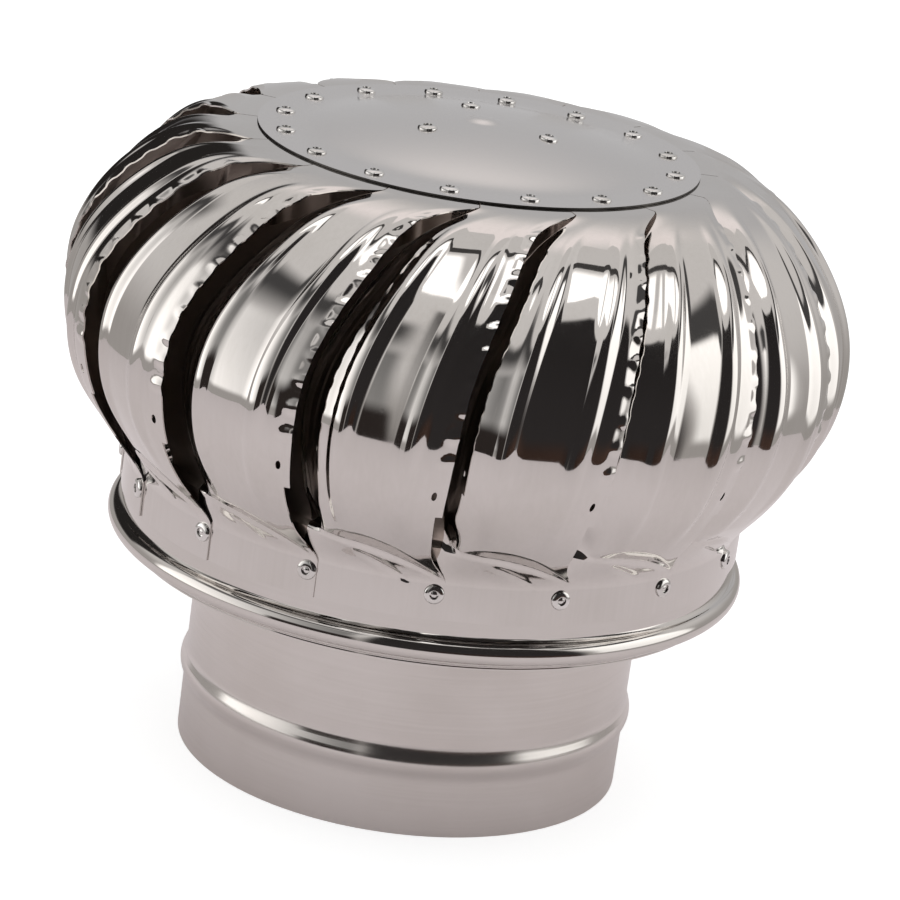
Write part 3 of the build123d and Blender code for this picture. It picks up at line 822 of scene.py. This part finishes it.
# Upright cards round the object; turn 0 is the camera's side, positive to its right
uprightCards = {
    "darkFront": {
        "turn": (-16, 58), "heights": (0, 770), "away": 450, "colour": (0.020, 0.018, 0.018),
        "shares": (1, 1, 1.6, 1), "fades": (0.07, 0, 0.05)},
    "brownFoot": {
        "turn": (2, 57), "heights": (0, 110), "away": 446, "colour": (0.045, 0.027, 0.021),
        "shares": (0.8, 1.6, 1, 1), "fades": (0.15, 0, 0.8)},
    "softboxRight": {
        "turn": (57, 104), "heights": (48, 450), "away": 452, "colour": (1.0, 0.985, 0.965),
        "strength": 1.75, "shares": (0.85, 1, 0.8, 1), "fades": (0.12, 0.1, 0.08)},
    "softboxLeft": {
        "turn": (-94, -16), "heights": (30, 440), "away": 455, "colour": (1.0, 0.98, 0.96),
        "strength": 1.65, "shares": (1.1, 0.18, 1, 0.7), "fades": (0.06, 0.06, 0.15)},
    "darkLeftFoot": {
        "turn": (-47, -15), "heights": (0, 170), "away": 449, "colour": (0.03, 0.024, 0.022),
        "fades": (0.12, 0, 0.4)},
    "darkLeftTop": {
        "turn": (-105, -14), "heights": (360, 640), "away": 454, "colour": (0.07, 0.068, 0.068),
        "fades": (0.1, 0.6, 0.3)},
    "darkRightTop": {
        "turn": (56, 118), "heights": (425, 600), "away": 458, "colour": (0.07, 0.068, 0.068),
        "fades": (0.1, 0.2, 0.3)},
    "darkBackLeft": {
        "turn": (199, 252), "heights": (115, 540), "away": 460, "colour": (0.022, 0.02, 0.019),
        "fades": (0.1, 0.12, 0.3)},
    "backShade": {
        "turn": (120, 240), "heights": (130, 720), "away": 468, "colour": (0.53, 0.525, 0.53),
        "fades": (0.2, 0.1, 0.6)},
    "wallFoot": {
        "turn": (-180, 180), "heights": (0, 330), "away": 470, "colour": (0.42, 0.40, 0.385),
        "fades": (0, 0, 0.75)},
    "backGlow": {
        "turn": (128, 232), "heights": (480, 1290), "away": 472, "colour": (1.0, 0.93, 0.915),
        "strength": 1.05, "fades": (0.3, 0.55, 0)},
    "greyWall": {
        "turn": (-180, 180), "heights": (0, 1300), "away": 480, "colour": (0.70, 0.68, 0.665),
        "shares": (1, 1, 1, 1.1)},
}
# Level cards overhead; area is left, front, right, back
levelCards = {
    "overheadLeft": {
        "area": (-440, -730, -50, -120), "height": 1000, "colour": (1.0, 0.985, 0.97),
        "strength": 1.7, "fades": (0.1, 0.1, 0.1)},
    "overheadRight": {
        "area": (0, -730, 600, -120), "height": 1000, "colour": (1.0, 0.985, 0.97),
        "strength": 1.75, "fades": (0.1, 0.1, 0.1)},
    "darkBeam": {
        "area": (-650, -115, 650, -45), "height": 1000, "colour": (0.06, 0.057, 0.056),
        "fades": (0.1, 0.1, 0.1)},
    "greyCeiling": {
        "area": (-1500, -1500, 1500, 1500), "height": 1300, "colour": (0.66, 0.64, 0.625),
        "strength": 1.05},
}


def stagePiece(name, mesh, material, cameraSees=False):
    piece = bpy.data.objects.new(name, mesh)
    mesh.materials.append(material)
    scene.collection.objects.link(piece)
    if not cameraSees:  # the cards stand outside the picture and only show in the metal
        piece.visible_camera = False
        piece.visible_diffuse = False
        piece.visible_shadow = False
        piece.visible_transmission = False


# The picture sees a white floor with the object's shadow, and the metal mirrors a darker one, painted
# lighter near the object as painted light against the object's shadow and darker further out
def floorMaterial():
    material, tree = newMaterial("paleFloor")
    light = tree.nodes.new("ShaderNodeLightPath")
    seen = light.outputs["Is Camera Ray"]
    place = tree.nodes.new("ShaderNodeTexCoord")
    away = addNode(tree, "ShaderNodeVectorMath", {"operation": "LENGTH"}, i0=place.outputs["Object"])
    # painted light: the mirrored floor is lighter near the object's middle
    fade = remap(tree, away.outputs[1], studio["floorLightFade"])
    mirrored = mixColours(tree, fade, studio["floorNearPaintedLight"], studio["floorFar"])
    tone = mixColours(tree, seen, mirrored, studio["floorSeen"])
    shade = addNode(tree, "ShaderNodeBsdfDiffuse", Color=tone)
    lift = maths(tree, "MULTIPLY", seen, studio["floorGlow"])
    glow = addNode(tree, "ShaderNodeEmission", Color=(1, 1, 1, 1), Strength=lift)
    both = addNode(tree, "ShaderNodeAddShader", i0=shade.outputs[0], i1=glow.outputs[0])
    showShader(tree, both.outputs[0])
    return material


# Glowing cloth whose light changes from left to right and bottom to top, and fades out at its borders
def clothMaterial(name, card):
    material, tree = newMaterial(name)
    place = tree.nodes.new("ShaderNodeTexCoord")
    split = addNode(tree, "ShaderNodeSeparateXYZ", i0=place.outputs["UV"])
    u, v = split.outputs[0], split.outputs[1]
    wide = remap(tree, u, (0, 1), card["shares"][:2], "SMOOTHSTEP")
    high = remap(tree, v, (0, 1), card["shares"][2:], "SMOOTHSTEP")
    light = maths(tree, "MULTIPLY", maths(tree, "MULTIPLY", wide, high), card["strength"])
    glow = addNode(tree, "ShaderNodeEmission", Color=(*card["colour"], 1), Strength=light)
    shown = glow.outputs[0]
    if any(card["fades"]):
        fromSide = maths(tree, "MINIMUM", u, maths(tree, "SUBTRACT", 1.0, u))
        fromTop = maths(tree, "SUBTRACT", 1.0, v)
        cover = 1.0
        for away, fade in zip((fromSide, v, fromTop), card["fades"]):
            if fade:
                ramp = remap(tree, away, (0, fade), kind="SMOOTHSTEP")
                cover = maths(tree, "MULTIPLY", ramp, cover)
        clear = tree.nodes.new("ShaderNodeBsdfTransparent")
        mix = addNode(tree, "ShaderNodeMixShader", i0=cover, i1=clear.outputs[0], i2=shown)
        shown = mix.outputs[0]
    showShader(tree, shown)
    return material


def gridMesh(name, rows):
    mesh = bpy.data.meshes.new(name)
    wide = len(rows[0])
    points = [tuple(v * mm for v in p) for row in rows for p in row]
    faces = [(i * wide + j, i * wide + j + 1, (i + 1) * wide + j + 1, (i + 1) * wide + j)
             for i in range(len(rows) - 1) for j in range(wide - 1)]
    mesh.from_pydata(points, [], faces)
    layer = mesh.uv_layers.new(name="cloth")
    for loop in mesh.loops:
        i, j = divmod(loop.vertex_index, wide)
        layer.data[loop.index].uv = (j / (wide - 1), i / (len(rows) - 1))
    return mesh


# Part of a cylinder round the object
def wallMesh(name, turn, heights, away):
    angles = np.radians(np.linspace(*turn, studio["cardSteps"] + 1))
    rows = [[(away * np.sin(a), -away * np.cos(a), z) for a in angles] for z in heights]
    return gridMesh(name, rows)


def levelMesh(name, area, height):
    left, front, right, back = area
    return gridMesh(name, [[(left, y, height), (right, y, height)] for y in (front, back)])


def makeStudio():
    half = studio["floorSize"] / 2
    floor = levelMesh("paleFloor", (-half, -half, half, half), 0)
    stagePiece("paleFloor", floor, floorMaterial(), cameraSees=True)
    for name, card in uprightCards.items():
        cloth = clothMaterial(name, {**plainCard, **card})
        stagePiece(name, wallMesh(name, card["turn"], card["heights"], card["away"]), cloth)
    for name, card in levelCards.items():
        cloth = clothMaterial(name, {**plainCard, **card})
        stagePiece(name, levelMesh(name, card["area"], card["height"]), cloth)


def makeWorld():
    world = bpy.data.worlds.new("whiteStudio")
    world.use_nodes = True
    background = world.node_tree.nodes["Background"]
    background.inputs[0].default_value = studio["worldTone"]
    background.inputs[1].default_value = studio["worldStrength"]
    scene.world = world


makeStudio()
makeWorld()
scene.view_settings.view_transform = "Standard"
print("studio set")
